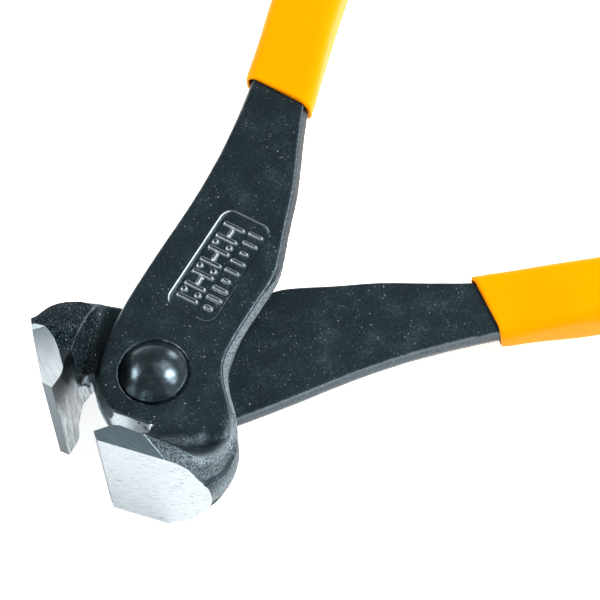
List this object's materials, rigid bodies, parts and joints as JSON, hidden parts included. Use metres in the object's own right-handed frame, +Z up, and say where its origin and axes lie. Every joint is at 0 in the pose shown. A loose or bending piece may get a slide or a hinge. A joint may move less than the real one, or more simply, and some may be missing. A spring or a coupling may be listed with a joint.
{
  "type": "tile nippers",
  "caption": "Hand-held end-cutting tile nippers: crossed dark steel levers on a rivet, wide ground jaws, curved yellow dipped grips.",
  "frame": {"origin": "middle of the bottom of the overall box, with the tool lying flat and held open as modelled", "axes": "+X from the jaws towards the handles, +Y towards the handle of the front (upper) lever, +Z up along the rivet"},
  "size_m": [0.1642, 0.143, 0.0276],
  "materials": {
    "forged_steel": "black oxide on forged skin, with bare ground faces on the jaws",
    "rivet_steel": "glossy black, rubbed bright in spots",
    "vinyl": "glossy dipped vinyl, golden yellow"
  },
  "bodies": {
    "front": {"front_lever": "forged_steel", "front_grip": "vinyl", "pivot_rivet": "rivet_steel"},
    "rear": {"rear_lever": "forged_steel", "rear_grip": "vinyl"}
  },
  "joints": [
    {"name": "pivot", "type": "hinge", "parent": "front", "child": "rear", "pos_m": [-0.06429, 0, 0.0138], "axis": [0, 0, 1], "range_deg": [-18, 36.2]}
  ]
}
